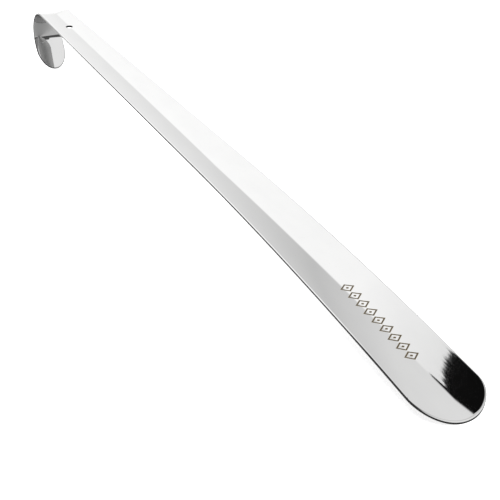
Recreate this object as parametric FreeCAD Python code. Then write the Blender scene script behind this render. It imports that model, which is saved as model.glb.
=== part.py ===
import FreeCAD, Part
import math
import os

# A long metal shoehorn: one strip of polished stainless steel, pressed into a shallow
# trough, with a wide rounded blade at one end and a hook bent back at the other.
#
# Frame: millimetres, +Z up. The shoehorn lies on its back, concave face up, on the end
# of its hook and the tip of its blade. +X runs from the hook to the blade's tip, the XZ
# plane is its plane of symmetry, and the origin is the middle of its box's underside.
#
# It is shaped first in the frame of its straight shaft: X along the trough's floor, with
# x = 0 where the hook's bend begins, and Z out of the concave face. It is laid down last.

V = FreeCAD.Vector

# Driving dimensions, in millimetres and degrees.
overall_length = 580.0      # along the shaft, from the outside of the bend to the blade's tip
blade_width = 44.0          # of the tapering sides, at the blade's tip
neck_width = 24.5           # where the bend begins
hook_end_width = 22.4       # of the tapering sides, at the end of the hook
sheet_thickness = 1.5
trough_radius = 52.0        # of the concave face, across the strip
bend_radius = 20.5          # of the trough's floor, round the bend
bend_angle = 130.0
leg_length = 18.0           # the straight leg after the bend, rounded over its whole length
leg_rounding_width = 23.1   # across the half ellipse that rounds it
bow_radius = 2750.0         # the blade bows gently towards the hook's side
bow_length = 275.0
tip_length = 21.0           # of the half ellipse that rounds the blade's tip
hole_diameter = 5.0         # for hanging on a peg
hole_from_bend = 30.0

# The ornament on the blade is a row of open lozenges, each round a small solid one. They
# are engraved in the concave face and filled flush with enamel.
engraving_depth = 0.15
engraving_centre = (475.5, 2.0)
lozenge_count = 9
lozenge_pitch = 8.0
lozenge_length = 7.4        # along the shaft
lozenge_width = 9.0         # across the shaft
lozenge_stroke = 0.95
dot_scale = 0.26            # of the small lozenge, against the open one

# Sizes worked out from those.
bow_reach = bow_radius * math.sin(bow_length / bow_radius)
straight_length = overall_length - bend_radius - bow_reach
tip_x = straight_length + bow_reach
turn = math.radians(bend_angle)
hook_depth = bend_radius * (1 - math.cos(turn)) + leg_length * math.sin(turn)
blank_spare = 5.0           # the uncut blank runs this far past each end of the strip
blank_half_width = blade_width / 2 + 2.0
tool_reach = 80.0           # every cutting prism runs this far past the shaft's frame origin

bend_axis = V(0, 0, -bend_radius)
bow_axis = V(straight_length, 0, -bow_radius)
across = V(0, 1, 0)


def trough_arc(radius, half_width):
    """An arc across the strip, about the trough's axis, in the plane x = 0."""
    edge_height = trough_radius - math.sqrt(radius ** 2 - half_width ** 2)
    floor = V(0, 0, trough_radius - radius)
    left, right = V(0, -half_width, edge_height), V(0, half_width, edge_height)
    return Part.Arc(left, floor, right).toShape(), left, right


def section(depth):
    """The blank's cross-section, from the concave face down to a depth."""
    back_radius = trough_radius + depth
    back_half_width = blank_half_width * back_radius / trough_radius
    front, front_left, front_right = trough_arc(trough_radius, blank_half_width)
    back, back_left, back_right = trough_arc(back_radius, back_half_width)
    sides = [Part.makeLine(front_left, back_left), Part.makeLine(front_right, back_right)]
    return Part.Face(Part.Wire(Part.__sortEdges__([front, back] + sides)))


def shaft_blank(depth):
    """The straight shaft and the bowed blade, before their outline is cut."""
    straight = section(depth).extrude(V(straight_length, 0, 0))
    bow_angle = math.degrees((bow_length + blank_spare) / bow_radius)
    bow_start = section(depth).translated(V(straight_length, 0, 0))
    return straight.fuse(bow_start.revolve(bow_axis, across, bow_angle))


def hook_blank(depth):
    """The hook's bend and its straight leg, before their outline is cut."""
    bend = section(depth).revolve(bend_axis, across, -bend_angle)
    leg_start = section(depth).rotated(bend_axis, across, -bend_angle)
    leg_direction = V(-math.cos(turn), 0, -math.sin(turn))
    leg = leg_start.extrude(leg_direction * (leg_length + blank_spare))
    return bend.fuse(leg)


def half_ellipse(length, half_width):
    """A half ellipse in the XY plane about the origin, bulging by its length along X."""
    half_circle = Part.Arc(V(0, -1, 0), V(1, 0, 0), V(0, 1, 0)).toShape()
    stretch = FreeCAD.Matrix()
    stretch.scale(length, half_width, 1)
    return half_circle.transformGeometry(stretch)


def prism(edges):
    """A prism along Z, right through the strip, from the edges of a closed outline."""
    outline = Part.Wire(Part.__sortEdges__(edges))
    solid = Part.Face(outline).extrude(V(0, 0, 2 * tool_reach))
    return solid.translated(V(0, 0, -tool_reach))


def shaft_outline():
    """The plan outline of the shaft and the blade."""
    rounding_start = tip_x - tip_length
    slope = (blade_width - neck_width) / 2 / tip_x
    neck = neck_width / 2
    shoulder = neck + slope * rounding_start
    tip = half_ellipse(tip_length, shoulder).translated(V(rounding_start, 0, 0))
    sides = Part.makePolygon([V(rounding_start, shoulder, 0), V(0, neck, 0),
                              V(0, -neck, 0), V(rounding_start, -shoulder, 0)])
    return prism([tip] + sides.Edges)


def hook_outline():
    """A prism along X, parallel-sided above the shaft's floor and narrowing below it."""
    neck = neck_width / 2
    slope = (neck_width - hook_end_width) / 2 / hook_depth
    bottom = neck - slope * tool_reach
    right = [V(-tool_reach, neck, tool_reach), V(-tool_reach, neck, 0),
             V(-tool_reach, bottom, -tool_reach)]
    left = [V(corner.x, -corner.y, corner.z) for corner in reversed(right)]
    outline = Part.makePolygon(right + left + right[:1])
    return Part.Face(outline).extrude(V(tool_reach, 0, 0))


def leg_end_outline():
    """A prism square to the hook's leg, which rounds the leg to a half ellipse."""
    edge = leg_rounding_width / 2
    clear = neck_width
    tip = half_ellipse(-leg_length, edge)
    sides = Part.makePolygon([V(0, edge, 0), V(0, clear, 0), V(tool_reach, clear, 0),
                              V(tool_reach, -clear, 0), V(0, -clear, 0), V(0, -edge, 0)])
    return prism([tip] + sides.Edges).rotated(bend_axis, across, -bend_angle)


def lozenge(centre_x, centre_y, scale):
    """A lozenge-shaped prism, one of the ornament's, at a scale of its full size."""
    half_length = scale * lozenge_length / 2
    half_width = scale * lozenge_width / 2
    corners = [V(centre_x - half_length, centre_y, 0), V(centre_x, centre_y - half_width, 0),
               V(centre_x + half_length, centre_y, 0), V(centre_x, centre_y + half_width, 0)]
    return prism(Part.makePolygon(corners + corners[:1]).Edges)


def ornament():
    """The prisms of the ornament: a row of open lozenges, each round a small solid one."""
    centre_x, centre_y = engraving_centre
    flat_to_flat = lozenge_length * lozenge_width / math.hypot(lozenge_length, lozenge_width)
    inside_scale = 1 - 2 * lozenge_stroke / flat_to_flat
    prisms = []
    for place in range(lozenge_count):
        x = centre_x + (place - (lozenge_count - 1) / 2) * lozenge_pitch
        prisms.append(lozenge(x, centre_y, 1.0).cut(lozenge(x, centre_y, inside_scale)))
        prisms.append(lozenge(x, centre_y, dot_scale))
    return Part.makeCompound(prisms)


def steel_strip(engraving):
    """The steel: the outlined strip, with its hole punched and its ornament engraved."""
    shaft = shaft_blank(sheet_thickness).common(shaft_outline())
    hook = hook_blank(sheet_thickness).common(hook_outline()).common(leg_end_outline())
    hole_start = V(hole_from_bend, 0, -tool_reach)
    hole = Part.makeCylinder(hole_diameter / 2, 2 * tool_reach, hole_start)
    return shaft.fuse(hook).removeSplitter().cut(hole).cut(engraving)


def resting_tilt():
    """How far the shaft tips, blade down, when the shoehorn is laid on its back."""
    leg_end = FreeCAD.Rotation(across, -bend_angle).multVec(V(-leg_length, 0, bend_radius))
    leg_end += bend_axis
    back_radius = bow_radius - sheet_thickness
    blade_end_z = math.sqrt(back_radius ** 2 - bow_reach ** 2) - bow_radius
    return math.degrees(math.atan2(blade_end_z - leg_end.z, tip_x - leg_end.x))


def laid_down(shapes):
    """The shapes tipped on their back, over the middle of the first one's underside."""
    tipped = [shape.rotated(V(0, 0, 0), across, resting_tilt()) for shape in shapes]
    box = tipped[0].optimalBoundingBox()
    middle = V((box.XMin + box.XMax) / 2, (box.YMin + box.YMax) / 2, box.ZMin)
    return [shape.translated(middle * -1) for shape in tipped]


engraving_fill = shaft_blank(engraving_depth).common(ornament())
horn = steel_strip(engraving_fill)
horn, engraving_fill = laid_down([horn, engraving_fill])

os.makedirs("parts", exist_ok=True)
for name, shape in (("horn", horn), ("engraving_fill", engraving_fill)):
    print(name, "valid", shape.isValid(), "solids", len(shape.Solids), "volume", round(shape.Volume, 1))
    shape.exportStep(f"parts/{name}.step")
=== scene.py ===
"""A long polished steel shoehorn, lying on its back in a white studio.

The strip is modelled in the frame of its straight shaft, in millimetres, as the CAD part
is, and then laid down into the row frame, in metres. A place on the strip has a station
along the trough's floor, 0 where the hook's bend begins and growing towards the blade, and
an offset across it.
"""
import math

import bpy
import numpy as np
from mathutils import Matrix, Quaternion, Vector


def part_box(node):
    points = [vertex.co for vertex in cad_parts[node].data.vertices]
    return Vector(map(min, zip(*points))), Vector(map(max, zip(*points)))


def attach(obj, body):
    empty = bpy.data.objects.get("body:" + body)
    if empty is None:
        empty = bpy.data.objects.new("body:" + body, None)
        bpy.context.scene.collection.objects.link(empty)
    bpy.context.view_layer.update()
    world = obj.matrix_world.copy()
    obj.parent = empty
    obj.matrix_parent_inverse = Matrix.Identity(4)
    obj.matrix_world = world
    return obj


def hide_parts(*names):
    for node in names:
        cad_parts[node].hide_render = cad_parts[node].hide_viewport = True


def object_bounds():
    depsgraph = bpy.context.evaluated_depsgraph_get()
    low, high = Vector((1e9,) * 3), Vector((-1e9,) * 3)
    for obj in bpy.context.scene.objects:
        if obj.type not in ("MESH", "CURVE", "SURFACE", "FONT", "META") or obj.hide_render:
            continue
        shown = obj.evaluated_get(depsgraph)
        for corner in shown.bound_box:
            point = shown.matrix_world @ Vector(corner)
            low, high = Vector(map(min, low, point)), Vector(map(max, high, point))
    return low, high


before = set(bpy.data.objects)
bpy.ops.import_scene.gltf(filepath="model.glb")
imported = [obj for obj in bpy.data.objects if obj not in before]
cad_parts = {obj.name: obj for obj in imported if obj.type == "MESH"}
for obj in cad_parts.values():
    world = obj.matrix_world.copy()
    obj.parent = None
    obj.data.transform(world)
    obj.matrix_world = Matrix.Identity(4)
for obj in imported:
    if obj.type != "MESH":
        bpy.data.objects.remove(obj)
cad_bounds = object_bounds()

MM = 0.001

# The part's driving dimensions, in millimetres and degrees.
overall_length = 580.0
blade_width = 44.0
neck_width = 24.5
hook_end_width = 22.4
sheet_thickness = 1.5
trough_radius = 52.0
bend_radius = 20.5
bend_angle = 130.0
leg_length = 18.0
bow_radius = 2750.0
bow_length = 275.0
tip_length = 21.0
hole_diameter = 5.0
hole_from_bend = 30.0
engraving_centre = (475.5, 2.0)
lozenge_count = 9
lozenge_pitch = 8.0
lozenge_length = 7.4
lozenge_width = 9.0
lozenge_stroke = 0.95
dot_scale = 0.26

# Sizes worked out from those.
bow_reach = bow_radius * math.sin(bow_length / bow_radius)
straight_length = overall_length - bend_radius - bow_reach
tip_station = straight_length + bow_reach
rounding_start = tip_station - tip_length
side_slope = (blade_width - neck_width) / 2 / tip_station
shoulder = neck_width / 2 + side_slope * rounding_start
turn = math.radians(bend_angle)
bend_length = bend_radius * turn
hook_depth = bend_radius * (1 - math.cos(turn)) + leg_length * math.sin(turn)
hook_slope = (neck_width - hook_end_width) / 2 / hook_depth

# Details of the rims, which the solids leave square.
rim_rounding = 0.09
hole_rounding = 0.22
rim_band = 1.4          # the mesh follows the outline this far in
hole_band = 1.0
bevel_reach = 0.85      # the concave face falls away towards its rim from this far in
bevel_drop = 0.45
bevel_bend = 1.1        # a power: 1 for a flat chamfer
bevel_share = 0.2       # of the way over a rim, as the edge attribute counts it
rounding_steps = 5
band_steps = (0.7, 0.55, 0.42, 0.3, 0.2, 0.13)  # rings of points, as parts of a band's width

# The enamel in the engraving.
enamel_crown = 0.03     # its middle stands this far above the steel
enamel_seat = 0.10      # and its underside this far below
stroke_steps = 6        # faces across a stroke
side_steps = 7          # and along each side of a lozenge
dot_steps = 6

# The mesh's spacing.
narrowing_turns = 4
rows = 32               # across the strip
shaft_spacing = 2.4
neck_spacing = 1.54     # between the bend and the hole
bend_spacing = 1.1
tip_columns = 14
leg_columns = 14
hole_block = 4.4        # half the side of the block of faces round the hole
hole_columns = 12
underside_samples = 4000
hole_approach = (0.34, 0.67)    # rings between that block's sides and the hole's band


def sag(offset, depth):
    """Height above the trough's floor, across the strip, of the surface at a depth."""
    return trough_radius - np.sqrt((trough_radius + depth) ** 2 - offset ** 2)


def surface(station, offset, depth=0.0, sink=0.0):
    """Points on the surface at a depth in the strip, sunk square to the trough's floor."""
    station, offset = np.broadcast_arrays(np.asarray(station, float), offset)
    height = sag(offset, depth)
    past_straight = np.clip(station - straight_length, 0, None)
    z = np.sqrt((bow_radius + height) ** 2 - past_straight ** 2) - bow_radius - sink
    shaft = np.stack([station, offset, z], -1)
    angle = np.clip(-station / bend_radius, 0, turn)
    radius = bend_radius + height - sink
    hook = np.stack([-radius * np.sin(angle), offset,
                     radius * np.cos(angle) - bend_radius], -1)
    along_leg = np.clip(-station - bend_length, 0, None)
    hook[..., 0] -= along_leg * math.cos(turn)
    hook[..., 2] -= along_leg * math.sin(turn)
    return np.where((station >= 0)[..., None], shaft, hook)


def half_width(station):
    """Half the strip's width at a station before its ends are rounded. Round the hook it
    narrows with the depth of its rim, which hangs on the width, so it is worked out in turns."""
    widening = neck_width / 2 + side_slope * np.clip(station, 0, None)
    narrowing = np.zeros_like(widening)
    for _ in range(narrowing_turns):
        edge = surface(station, widening - narrowing, sheet_thickness / 2)
        below = np.where(station < 0, np.clip(-edge[..., 2], 0, None), 0)
        narrowing = hook_slope * below
    return widening - narrowing


def laid_down(points):
    """Points tipped onto the hook's end and the blade's tip, in the row frame, in metres."""
    back = bow_radius - sheet_thickness
    blade_end_z = math.sqrt(back ** 2 - bow_reach ** 2) - bow_radius
    leg_end = surface(-bend_length - leg_length, 0.0)
    tilt = math.atan2(blade_end_z - leg_end[2], tip_station - leg_end[0])
    c, s = math.cos(tilt), math.sin(tilt)
    return points @ np.array([[c, 0, s], [0, 1, 0], [-s, 0, c]]).T * MM


# --- The outline, as a loop round the strip -------------------------------------------

def spaced(start, end, spacing):
    count = max(1, round(abs(end - start) / spacing))
    return np.linspace(start, end, count + 1)


def stations():
    """Columns of the mesh from the hook's leg to the start of the blade's rounding."""
    near, far = hole_from_bend - hole_block, hole_from_bend + hole_block
    runs = [spaced(-bend_length, 0, bend_spacing), spaced(0, near, neck_spacing),
            np.linspace(near, far, hole_columns + 1),
            spaced(far, rounding_start, shaft_spacing)]
    return np.concatenate([runs[0]] + [run[1:] for run in runs[1:]])


def ellipse(start, length, half, angles):
    """Outline points and inward normals round a half ellipse, bulging by its length."""
    points = np.stack([start + length * np.sin(angles), half * np.cos(angles)], -1)
    inward = -np.stack([np.sin(angles) / length, np.cos(angles) / half], -1)
    return points, inward / np.linalg.norm(inward, axis=-1, keepdims=True)


def coons(left, right, bottom, top):
    """A grid of points between four sides; left and right run up, the others across."""
    u = np.linspace(0, 1, len(bottom))[:, None, None]
    v = np.linspace(0, 1, len(left))[None, :, None]
    across = (1 - u) * left[None] + u * right[None]
    up = (1 - v) * bottom[:, None] + v * top[:, None]
    corners = ((1 - u) * (1 - v) * left[0] + u * (1 - v) * right[0]
               + (1 - u) * v * left[-1] + u * v * right[-1])
    return across + up - corners


def end_patch(start, length, half, columns):
    """The grid inside one rounded end, from its straight side to its tip."""
    quarter = math.pi / 4
    top_outline = ellipse(start, length, half, np.linspace(0, quarter, columns + 1))
    end_outline = ellipse(start, length, half,
                          np.linspace(3 * quarter, quarter, rows + 1))
    top = top_outline[0] + rim_band * top_outline[1]
    end = end_outline[0] + rim_band * end_outline[1]
    bottom = top * [1, -1]
    left = np.linspace(bottom[0], top[0], rows + 1)
    return coons(left, end, bottom, top), top_outline, end_outline


def sheet_grid():
    """The grid inside the rim's band, and the outline outside each of its edge points."""
    columns = stations()
    half = half_width(columns)
    fractions = np.linspace(-1, 1, rows + 1)
    middle = np.stack([np.repeat(columns[:, None], rows + 1, 1),
                       (half - rim_band)[:, None] * fractions], -1)
    tip, tip_top, tip_end = end_patch(rounding_start, tip_length, shoulder, tip_columns)
    leg, leg_top, leg_end = end_patch(-bend_length, -leg_length, half[0], leg_columns)
    grid = np.concatenate([leg[:0:-1], middle, tip[1:]])

    down = np.tile([0.0, -1.0], (len(columns), 1))
    side = (np.stack([columns, half], -1), down)
    flip = np.array([1.0, -1.0])
    top = [np.concatenate([leg_top[k][:0:-1], side[k], tip_top[k][1:]]) for k in (0, 1)]
    loop = [np.concatenate([top[k], tip_end[k][::-1][1:-1], (top[k] * flip)[::-1],
                            leg_end[k][1:-1]]) for k in (0, 1)]
    return grid, loop


# --- The meshes -----------------------------------------------------------------------

def grid_faces(index):
    """The quads of a grid of indices."""
    return np.stack([index[:-1, :-1], index[1:, :-1], index[1:, 1:], index[:-1, 1:]], -1)


def round_block(index):
    """The loop of indices round the outside of a grid."""
    return np.concatenate([index[:-1, 0], index[-1, :-1], index[:0:-1, -1], index[0, :0:-1]])


class Skin:
    """Vertices and faces, gathered grid by grid and ring by ring."""

    def __init__(self):
        self.points, self.places, self.edge, self.faces = [], [], [], []
        self.count = 0

    def add(self, places, depth, sink, edge=0.0):
        """Adds points of the strip, from their places, and returns their indices."""
        places = np.asarray(places, float)
        flat = places.reshape(-1, 2)
        self.points.append(surface(flat[:, 0], flat[:, 1], depth, sink))
        self.places.append(np.column_stack([flat, np.full(len(flat), depth)]))
        self.edge.append(np.broadcast_to(edge, len(flat)))
        index = np.arange(self.count, self.count + len(flat))
        self.count += len(flat)
        return index.reshape(places.shape[:-1])

    def band(self, first, second):
        """Faces between two loops of equal length."""
        quads = np.stack([first, np.roll(first, -1), np.roll(second, -1), second], -1)
        self.faces.append(quads)

    def join(self, first, rings, last):
        """Faces from one loop to another, by way of rings of new points."""
        for ring in rings:
            index = self.add(*ring)
            self.band(first, index)
            first = index
        self.band(first, last)


def over_edge(band, rounding, bevel=0.0):
    """Steps from a face out over its rim: distance in from the outline, sink, and how far
    over the rim."""
    def fall(inset):
        return bevel * max(0.0, 1 - inset / bevel_reach) ** bevel_bend

    steps = []
    for part in band_steps:
        inset = band * part
        if inset > rounding:
            over = bevel_share * max(0.0, 1 - inset / bevel_reach)
            steps.append((inset, fall(inset), over))
    for step in range(rounding_steps + 1):
        part = step / rounding_steps
        angle = part * math.pi / 2
        inset = rounding * (1 - math.sin(angle))
        over = bevel_share + (1 - bevel_share) * part
        steps.append((inset, rounding * (1 - math.cos(angle)) + fall(inset), over))
    return steps


def edge_profile(band, rounding, bevel=0.0):
    """Steps round a rim, from the concave face to the back: inset, depth, sink, over."""
    front = [(inset, 0.0, sink, over)
             for inset, sink, over in over_edge(band, rounding, bevel)]
    back = [(inset, sheet_thickness, -sink, over)
            for inset, sink, over in over_edge(band, rounding)]
    return front + back[::-1]


def steel_strip():
    """The pressed strip, with bevelled and rounded rims and its hole."""
    skin = Skin()
    grid, (outline, inward) = sheet_grid()
    columns = len(grid) - 1
    near = int(np.argmin(abs(grid[:, rows // 2, 0] - (hole_from_bend - hole_block))))
    far = near + hole_columns
    reach = round(hole_block / (abs(grid[near, 1, 1] - grid[near, 0, 1])))
    low, high = rows // 2 - reach, rows // 2 + reach

    def edge_loop(index):
        return np.concatenate([index[:, -1], index[-1, -2:0:-1], index[::-1, 0],
                               index[0, 1:-1]])

    def hole_loop(index):
        return round_block(index[near:far + 1, low:high + 1])

    front = skin.add(grid, 0.0, 0.0)
    back = skin.add(grid, sheet_thickness, 0.0)
    quads = grid_faces(front)
    keep = np.ones((columns, rows), bool)
    keep[near:far, low:high] = False
    skin.faces.append(quads[keep])
    skin.faces.append((quads[keep] + front.size)[:, ::-1])

    rim = [(outline + inset * inward, depth, sink, over) for inset, depth, sink, over
           in edge_profile(rim_band, rim_rounding, bevel_drop)]
    skin.join(edge_loop(front), rim, edge_loop(back))

    centre = np.array([hole_from_bend, 0.0])
    block_sides = grid.reshape(-1, 2)[hole_loop(front)]
    away = block_sides - centre
    away /= np.linalg.norm(away, axis=1, keepdims=True)

    def round_hole(inset):
        return centre + away * (hole_diameter / 2 + inset)

    def towards_hole(part):
        return (1 - part) * block_sides + part * round_hole(hole_band)

    profile = [(hole_band, 0.0, 0.0, 0.0), *edge_profile(hole_band, hole_rounding),
               (hole_band, sheet_thickness, 0.0, 0.0)]
    rings = [(towards_hole(part), 0.0, 0.0) for part in hole_approach]
    rings += [(round_hole(inset), depth, sink, over) for inset, depth, sink, over in profile]
    rings += [(towards_hole(part), sheet_thickness, 0.0) for part in reversed(hole_approach)]
    skin.join(hole_loop(front), rings, hole_loop(back))
    return skin


def lozenge_ring(centre, scale):
    """Places evenly along the sides of a lozenge of the ornament."""
    half = np.array([lozenge_length, lozenge_width]) / 2 * scale
    corners = np.array([[-1, 0], [0, -1], [1, 0], [0, 1]]) * half + centre
    part = np.arange(side_steps)[:, None] / side_steps
    return np.concatenate([start + (end - start) * part
                           for start, end in zip(corners, np.roll(corners, -1, 0))])


def add_open_lozenge(skin, centre):
    """A closed bead of enamel that follows a lozenge's outline."""
    flat_to_flat = lozenge_length * lozenge_width / math.hypot(lozenge_length, lozenge_width)
    inside_scale = 1 - 2 * lozenge_stroke / flat_to_flat
    profile = [(0.0, enamel_seat, 1.0)]
    for step in range(stroke_steps + 1):
        border = abs(2 * step / stroke_steps - 1)
        profile.append((step / stroke_steps, -enamel_crown * (1 - border ** 2), border))
    profile.append((1.0, enamel_seat, 1.0))
    rings = [skin.add(lozenge_ring(centre, 1 + across * (inside_scale - 1)), 0.0, sink, border)
             for across, sink, border in profile]
    for ring, following in zip(rings, rings[1:] + rings[:1]):
        skin.band(ring, following)


def add_dot(skin, centre):
    """A small solid lozenge of enamel."""
    u, v = np.meshgrid(*[np.linspace(-1, 1, dot_steps + 1)] * 2, indexing="ij")
    half = np.array([lozenge_length, lozenge_width]) / 2 * dot_scale
    places = centre + np.stack([(u + v) / 2, (v - u) / 2], -1) * half
    border = np.maximum(abs(u), abs(v))
    top = skin.add(places, 0.0, (-enamel_crown * (1 - border ** 2)).ravel(), border.ravel())
    bottom = skin.add(places, 0.0, enamel_seat, 1.0)
    for index, order in ((top, 1), (bottom, -1)):
        skin.faces.append(grid_faces(index).reshape(-1, 4)[:, ::order])
    skin.band(round_block(bottom), round_block(top))


def enamel_row():
    """The ornament: a row of open lozenges, each round a small solid one."""
    skin = Skin()
    for place in range(lozenge_count):
        along = (place - (lozenge_count - 1) / 2) * lozenge_pitch
        centre = np.array(engraving_centre) + [along, 0.0]
        add_open_lozenge(skin, centre)
        add_dot(skin, centre)
    return skin


def built(name, skin):
    """The object made from a skin, without the vertices that no face uses."""
    points = laid_down(np.concatenate(skin.points)) + placing
    faces = np.concatenate(skin.faces)
    used, renumbered = np.unique(faces, return_inverse=True)
    mesh = bpy.data.meshes.new(name)
    mesh.from_pydata(points[used].tolist(), [], renumbered.reshape(faces.shape).tolist())
    mesh.polygons.foreach_set("use_smooth", [True] * len(mesh.polygons))
    place = mesh.attributes.new("place", "FLOAT_VECTOR", "POINT")
    place.data.foreach_set("vector", (np.concatenate(skin.places)[used] * MM).ravel())
    edge = mesh.attributes.new("edge", "FLOAT", "POINT")
    edge.data.foreach_set("value", np.concatenate(skin.edge)[used])
    mesh.validate()
    piece = bpy.data.objects.new(name, mesh)
    bpy.context.scene.collection.objects.link(piece)
    return piece


def box_placing():
    """What moves the laid-down square-edged strip onto the CAD solid, whose box has the row
    frame's origin at the middle of its underside."""
    _, (outline, _) = sheet_grid()
    rims = [surface(outline[:, 0], outline[:, 1], depth) for depth in (0, sheet_thickness)]
    middle_line = np.linspace(-bend_length - leg_length, tip_station, underside_samples)
    floor = surface(middle_line, 0.0, sheet_thickness)
    points = laid_down(np.concatenate(rims + [floor]))
    lowest, highest = points.min(0), points.max(0)
    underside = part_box("horn")[0][2]
    middle = np.array([*(lowest + highest)[:2] / 2, lowest[2]])
    return np.array([0.0, 0.0, underside]) - middle


placing = box_placing()


# --- Materials ------------------------------------------------------------------------

class Nodes:
    """A short way to write a node tree."""

    def __init__(self, tree):
        self.tree = tree
        tree.nodes.clear()

    def add(self, kind, inputs=None, **settings):
        node = self.tree.nodes.new(kind)
        for key, value in settings.items():
            setattr(node, key, value)
        for key, value in (inputs or {}).items():
            if isinstance(value, bpy.types.NodeSocket):
                self.tree.links.new(value, node.inputs[key])
            else:
                node.inputs[key].default_value = value
        return node

    def attribute(self, name, output):
        return self.add("ShaderNodeAttribute", attribute_name=name).outputs[output]

    def math(self, operation, first, second=0.0):
        node = self.add("ShaderNodeMath", {0: first, 1: second}, operation=operation)
        return node.outputs[0]

    def product(self, first, *others):
        for other in others:
            first = self.math("MULTIPLY", first, other)
        return first

    def span(self, value, low, high, to_low=0.0, to_high=1.0, smooth=True):
        """A value's range mapped onto another, clamped."""
        node = self.add("ShaderNodeMapRange", {
            "Value": value, "From Min": low, "From Max": high, "To Min": to_low,
            "To Max": to_high}, interpolation_type="SMOOTHSTEP" if smooth else "LINEAR")
        return node.outputs[0]

    def noise(self, vector, scale, detail=2.0, roughness=0.5):
        node = self.add("ShaderNodeTexNoise", {"Vector": vector, "Scale": scale,
                                               "Detail": detail, "Roughness": roughness})
        return node.outputs["Fac"]

    def stretched(self, vector, scale):
        return self.add("ShaderNodeMapping", {"Vector": vector, "Scale": scale}).outputs[0]

    def ramp(self, along, tones):
        """A grey that follows a value from -1 to 1, through the stops given."""
        node = self.add("ShaderNodeValToRGB",
                        {0: self.span(along, -1.0, 1.0, smooth=False)})
        stops = node.color_ramp.elements
        while len(stops) < len(tones):
            stops.new(1.0)
        for stop, (place, tone) in zip(stops, tones):
            stop.position, stop.color = (place + 1) / 2, grey(tone)
        return node.outputs[0]

    def mix(self, factor, first, second):
        node = self.add("ShaderNodeMix", {0: factor, 6: first, 7: second},
                        data_type="RGBA")
        return node.outputs[2]


def new_material(name):
    material = bpy.data.materials.new(name)
    material.use_nodes = True
    return material, Nodes(material.node_tree)


def grey(value):
    return (value, value, value, 1.0)


# Stretches of the rims whose painted shade differs, as stations or offsets in millimetres. Each
# pair says where one side of a stretch begins, and where it is full.
# where the rims keep the polish's colour, without painted shade
unshaded_rim_start, unshaded_rim_end = (-14.0, -4.0), (120.0, 40.0)
unshaded_rim_off_middle = (5.0, 8.0)      # either side, so that the hole's rim keeps its painted shade
# where the painted shade, with the rough cut finish, spreads wider over the rims
wider_cut_and_shade_start, wider_cut_and_shade_end = (450.0, 525.0), (552.0, 545.0)
wider_cut_and_shade_side = (-5.0, -8.0)            # on the right of the blade alone
wider_cut_and_shade_hook = (-35.0, -45.0)
cut_and_shade_start = (0.28, 0.5)             # how far over a rim the rough cut finish, and the painted shade on it, begin, and are full
wider_cut_and_shade_spread = 4.0                   # on these stretches the painted shade and the rough finish begin this many times sooner

# The finish, painted shade and painted highlight of the steel and enamel. Scales count waves of
# noise in a metre.
lines_scale = (30.0, 2600.0, 2600.0)
haze_scale = (40.0, 90.0, 90.0)
polish_colours = (0.62, 0.62, 0.62, 1.0), (0.66, 0.66, 0.655, 1.0)
# the cut rims' near-black colour: partly the sheared edge's own duller tone, partly painted
# shade
sheared_and_shade_tones = 0.025, 0.07
polish_roughness = 0.02, 0.05
cut_roughness = 0.26                # more than the polish's
lines_strength = 0.05
bump_distance = 0.00002
clouds_scale = 700.0
flecks_scale = 9000.0
flecks_start = (0.58, 0.72)         # of the noise
flecks_most = 0.6
brown_colours = (0.030, 0.020, 0.007, 1.0), (0.062, 0.044, 0.018, 1.0)
gold_colour = (0.22, 0.15, 0.055, 1.0)
# pale painted highlight along the beads' borders
edge_highlight_colour = (0.42, 0.32, 0.15, 1.0)
edge_highlight_start = (0.72, 1.0)            # of the way out to a bead's border
clouds_strength = 0.3
enamel_roughness = 0.22, 0.40


def steel_material():
    """Mirror-polished steel: faint lengthwise polishing lines, haze, and rougher cut rims that
    are darkened with painted shade. The outer rims from the hook's bend to past the hole that it
    hangs by have no painted shade, and the shaded cut spreads wider along the right of the blade
    and round the end of the hook."""
    material, n = new_material("steel")
    place, edge = n.attribute("place", "Vector"), n.attribute("edge", "Fac")
    lines = n.noise(n.stretched(place, lines_scale), 1.0, 3.0, 0.6)
    haze = n.noise(n.stretched(place, haze_scale), 1.0, 2.0)
    polish = n.mix(haze, *polish_colours)
    split = n.add("ShaderNodeSeparateXYZ", {0: n.stretched(place, (1 / MM,) * 3)})
    station, offset = split.outputs[0], split.outputs[1]
    off_middle = n.math("ABSOLUTE", offset)
    # outer rims near the hook, left without the painted shade
    unshaded_rim = n.product(n.span(station, *unshaded_rim_start), n.span(station, *unshaded_rim_end),
                       n.span(off_middle, *unshaded_rim_off_middle))
    # stretches where the painted shade and rough finish spread wider over the rim
    wider_cut_and_shade = n.product(n.span(station, *wider_cut_and_shade_start), n.span(offset, *wider_cut_and_shade_side),
                     n.span(station, *wider_cut_and_shade_end))
    wider_cut_and_shade = n.math("MAXIMUM", wider_cut_and_shade, n.span(station, *wider_cut_and_shade_hook))
    over = n.product(edge, n.span(wider_cut_and_shade, 0.0, 1.0, 1.0, wider_cut_and_shade_spread, smooth=False))
    # the rough cut part of the rims, which also carries the painted shade
    cut_and_shade = n.span(over, *cut_and_shade_start)
    # near-black rim colour, partly sheared finish and partly painted shade
    sheared_and_shade = n.mix(lines, *map(grey, sheared_and_shade_tones))
    rim = n.mix(unshaded_rim, sheared_and_shade, polish)
    colour = n.mix(cut_and_shade, polish, rim)
    fine = n.span(lines, 0.3, 0.8, *polish_roughness)
    rough = n.math("ADD", fine, n.math("MULTIPLY", cut_and_shade, cut_roughness))
    bump = n.add("ShaderNodeBump", {"Strength": lines_strength, "Distance": bump_distance,
                                    "Height": lines})
    shader = n.add("ShaderNodeBsdfPrincipled", {
        "Base Color": colour, "Metallic": 1.0, "Roughness": rough,
        "Normal": bump.outputs[0]})
    n.add("ShaderNodeOutputMaterial", {"Surface": shader.outputs[0]})
    return material


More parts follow.
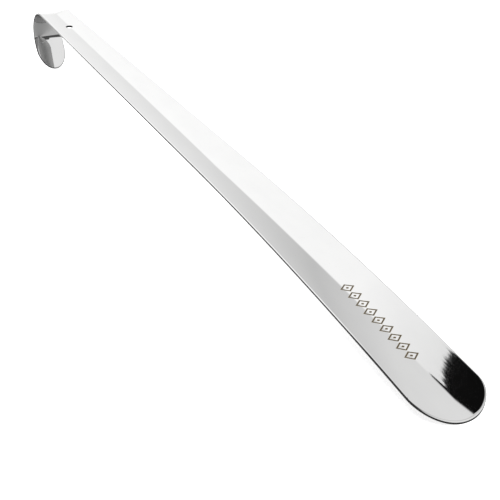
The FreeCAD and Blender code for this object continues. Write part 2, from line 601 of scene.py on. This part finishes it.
def enamel_material():
    """Golden-brown enamel, clouded and flecked with gold, with a paler painted highlight along
    the borders of its beads.
    """
    material, n = new_material("enamel")
    place, edge = n.attribute("place", "Vector"), n.attribute("edge", "Fac")
    clouds = n.noise(place, clouds_scale, 3.0)
    flecks = n.span(n.noise(place, flecks_scale, 1.0), *flecks_start, 0.0, flecks_most)
    flecked = n.mix(flecks, n.mix(clouds, *brown_colours), gold_colour)
    # a painted highlight, paler, along each bead's border
    colour = n.mix(n.span(edge, *edge_highlight_start), flecked, edge_highlight_colour)
    bump = n.add("ShaderNodeBump", {"Strength": clouds_strength, "Distance": bump_distance,
                                    "Height": clouds})
    shader = n.add("ShaderNodeBsdfPrincipled", {
        "Base Color": colour, "Roughness": n.span(clouds, 0.3, 0.7, *enamel_roughness),
        "Normal": bump.outputs[0]})
    n.add("ShaderNodeOutputMaterial", {"Surface": shader.outputs[0]})
    return material


# --- Pieces ---------------------------------------------------------------------------

horn = built("steel_strip", steel_strip())
horn.data.materials.append(steel_material())
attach(horn, "root")
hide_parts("horn")

ornament = built("enamel_lozenges", enamel_row())
ornament.data.materials.append(enamel_material())
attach(ornament, "root")
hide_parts("engraving_fill")

# --- Studio ---------------------------------------------------------------------------

floor_half = 4.0
floor_spacing = 1.0
floor_glow = 0.7            # it is lit from below too, so that it hardly shows a shadow
floor_tone = 0.92

# What the steel mirrors: the light table that it lies on, and the room round it. Directions
# are given by their part along the strip, from -1 at the hook's end of the room to 1 at the
# blade's, and by degrees round the strip, from 0 level on its left to 90 overhead.
room_brightness = 1.46
table_tone = 0.45
table_edge = (1.30, 1.70)   # metres from the middle, where the table ends in the dark
past_table = 0.03
wall_corner = -0.775        # the left wall's top is lowest here, and rises both ways
corner_height = 46.0
rise_to_blade = 48.0        # degrees, over the whole of a part along
rise_to_hook = 80.0
climb = (-0.465, -0.425)    # between these the wall's top climbs this many degrees more
climb_height = 5.0
wall_edge_blur = 1.3
wall_tones = [(-1.0, 0.95), (-0.86, 0.84), (-0.66, 0.54), (-0.56, 0.70), (-0.45, 0.75),
              (-0.1, 0.45), (0.3, 0.80)]
ceiling_tones = [(-1.0, 0.95), (-0.80, 1.0), (-0.60, 0.97), (-0.49, 0.80)]
doorway_start = -0.48       # the dark doorway overhead, past the ceiling
doorway_slant = 0.012
doorway_slants = (60.0, 120.0)      # degrees round about, between which its edge slants
doorway_end = (165.0, 150.0)
doorway_edge_blur = 0.0012
doorway_foot_blur = 1.0
fray_scale = 1.2            # of the noise that makes that edge ragged
fray_depth = 0.0055
spike_heights = (2.6, 1.0)  # degrees above the wall, where a dark spike runs out of its foot
spike_reach = 0.020
doorway_tones = [(-0.40, 0.004), (0.0, 0.25), (0.45, 0.8)]
skirting = 0.13             # the wall's foot is white up to this part upwards
far_corner_start = (0.3, 0.4)
far_corner_tone = 0.07
far_corner_top = 0.17       # parts upwards of the dark behind the blade's end of the table,
stand_top = 0.29            # and of the dark stand in it
stand_side = 0.335          # leftwards, over along
stand_side_blur = 0.02
stand_top_blur = 0.03
near_side_tone = 0.20       # of the near side of the room, over the blade's end
near_side_start, near_side_end = (93.0, 97.0), (138.0, 132.0)
near_side_along = (0.20, 0.35)
near_side_top = (0.90, 0.84)
curtain_tone = 0.30         # of the curtain on the right, at the hook's end of the room
curtain_edge = 196.0        # degrees round about where it would end half way along
curtain_slope = 110.0
curtain_blur = 6.0


def studio_floor():
    """A white light table, of which the steel mirrors only the grey middle."""
    steps = np.arange(-floor_half, floor_half + floor_spacing, floor_spacing)
    count = len(steps)
    mesh = bpy.data.meshes.new("floor")
    mesh.from_pydata([(x, y, 0.0) for x in steps for y in steps], [], [
        (i * count + j, (i + 1) * count + j, (i + 1) * count + j + 1, i * count + j + 1)
        for i in range(count - 1) for j in range(count - 1)])
    floor = bpy.data.objects.new("floor", mesh)
    bpy.context.scene.collection.objects.link(floor)
    material, n = new_material("floor")
    mirrored = n.add("ShaderNodeLightPath").outputs["Is Glossy Ray"]
    position = n.add("ShaderNodeNewGeometry").outputs["Position"]
    away = n.add("ShaderNodeVectorMath", {0: position}, operation="LENGTH").outputs["Value"]
    table = n.mix(n.span(away, *table_edge), grey(table_tone), grey(past_table))
    shader = n.add("ShaderNodeBsdfPrincipled", {
        "Base Color": n.mix(mirrored, grey(floor_tone), table), "Roughness": 0.9,
        "Specular IOR Level": 0.1, "Emission Strength": 1.0,
        "Emission Color": n.mix(mirrored, grey(floor_glow), grey(0.0))})
    n.add("ShaderNodeOutputMaterial", {"Surface": shader.outputs[0]})
    mesh.materials.append(material)
    return floor


def studio_world():
    """The room: a grey wall on the strip's left, a white ceiling, a dark doorway, a dark
    stand behind the blade's end, and a curtain on the right."""
    world = bpy.data.worlds.new("studio")
    bpy.context.scene.world = world
    world.use_nodes = True
    n = Nodes(world.node_tree)
    direction = n.add("ShaderNodeTexCoord").outputs["Generated"]
    split = n.add("ShaderNodeSeparateXYZ", {0: direction})
    along, left, up = (split.outputs[k] for k in range(3))
    round_about = n.math("MULTIPLY", n.math("ARCTAN2", up, left), 180 / math.pi)

    from_corner = n.math("SUBTRACT", along, wall_corner)
    rise = n.math("MAXIMUM", n.math("MULTIPLY", from_corner, rise_to_blade),
                  n.math("MULTIPLY", from_corner, -rise_to_hook))
    rise = n.math("ADD", rise, n.span(along, *climb, 0.0, climb_height, smooth=False))
    above_wall = n.math("SUBTRACT", round_about, n.math("ADD", rise, corner_height))
    wall = n.mix(n.span(up, 0.0, skirting), grey(1.0), n.ramp(along, wall_tones))
    ceiling = n.ramp(along, ceiling_tones)
    room = n.mix(n.span(above_wall, -wall_edge_blur, wall_edge_blur), wall, ceiling)

    on_wall = n.add("ShaderNodeCombineXYZ", {0: round_about, 1: along}).outputs[0]
    fray = n.noise(on_wall, fray_scale, 5.0, 0.75)
    into_doorway = n.math("ADD", along, n.span(round_about, *doorway_slants, 0.0, doorway_slant,
                                               smooth=False))
    into_doorway = n.math("ADD", into_doorway,
                          n.span(fray, 0.25, 0.75, -fray_depth, fray_depth, smooth=False))
    into_doorway = n.math("ADD", into_doorway,
                          n.span(above_wall, *spike_heights, 0.0, spike_reach))
    doorway = n.product(
        n.span(into_doorway, doorway_start - doorway_edge_blur,
               doorway_start + doorway_edge_blur),
        n.span(round_about, *doorway_end),
        n.span(above_wall, -doorway_foot_blur, doorway_foot_blur))
    room = n.mix(doorway, room, n.ramp(along, doorway_tones))

    beside_stand = n.math("SUBTRACT", left, n.math("MULTIPLY", along, stand_side))
    dark_top = n.span(beside_stand, -stand_side_blur, stand_side_blur, stand_top, far_corner_top)
    over_dark = n.math("SUBTRACT", up, dark_top)
    far_corner = n.product(n.span(along, *far_corner_start),
                           n.span(over_dark, stand_top_blur, -stand_top_blur))
    room = n.mix(far_corner, room, grey(far_corner_tone))
    near_side = n.product(
        n.span(round_about, *near_side_start), n.span(round_about, *near_side_end),
        n.span(along, *near_side_along), n.span(up, *near_side_top))
    room = n.mix(near_side, room, grey(near_side_tone))
    past_curtain = n.math("SUBTRACT", round_about,
                          n.math("MULTIPLY", along, curtain_slope))
    curtain = n.span(past_curtain, curtain_edge - curtain_blur, curtain_edge + curtain_blur)
    room = n.mix(curtain, room, grey(curtain_tone))

    seen = n.add("ShaderNodeLightPath").outputs["Is Camera Ray"]
    background = n.add("ShaderNodeBackground", {
        "Color": n.mix(seen, room, grey(1.0)), "Strength": room_brightness})
    n.add("ShaderNodeOutputWorld", {"Surface": background.outputs[0]})


studio_floor()
studio_world()

lamp_size = 3.0
lamp_power = 60.0
lamp_height = 2.5
lamp_data = bpy.data.lights.new("overhead", "AREA")
lamp_data.shape, lamp_data.size = "DISK", lamp_size
lamp_data.energy = lamp_power
lamp = bpy.data.objects.new("overhead", lamp_data)
lamp.location = (0.0, 0.0, lamp_height)
lamp.visible_glossy = False
bpy.context.scene.collection.objects.link(lamp)

bpy.context.scene.view_settings.view_transform = "Standard"

# --- Camera ---------------------------------------------------------------------------

view_azimuth = 62.54
view_elevation = 27.06
view_roll = 0.2
view_distance = 0.7685
view_lens = 99.1
aim_from_middle = Vector((0.1234, -0.0305, 0.0))
box_low, box_high = cad_bounds
aim = (box_low + box_high) / 2 + aim_from_middle
azimuth, elevation = math.radians(view_azimuth), math.radians(view_elevation)
back = Vector((math.sin(azimuth) * math.cos(elevation),
               -math.cos(azimuth) * math.cos(elevation), math.sin(elevation)))
camera = bpy.data.objects.new("camera", bpy.data.cameras.new("camera"))
bpy.context.scene.collection.objects.link(camera)
camera.location = aim + back * view_distance
camera.rotation_mode = "QUATERNION"
camera.rotation_quaternion = ((-back).to_track_quat("-Z", "Y")
                              @ Quaternion((0, 0, 1), math.radians(view_roll)))
camera.data.lens = view_lens
camera.data.sensor_width = 36.0
camera.data.clip_start, camera.data.clip_end = 0.01, 100.0
bpy.context.scene.camera = camera
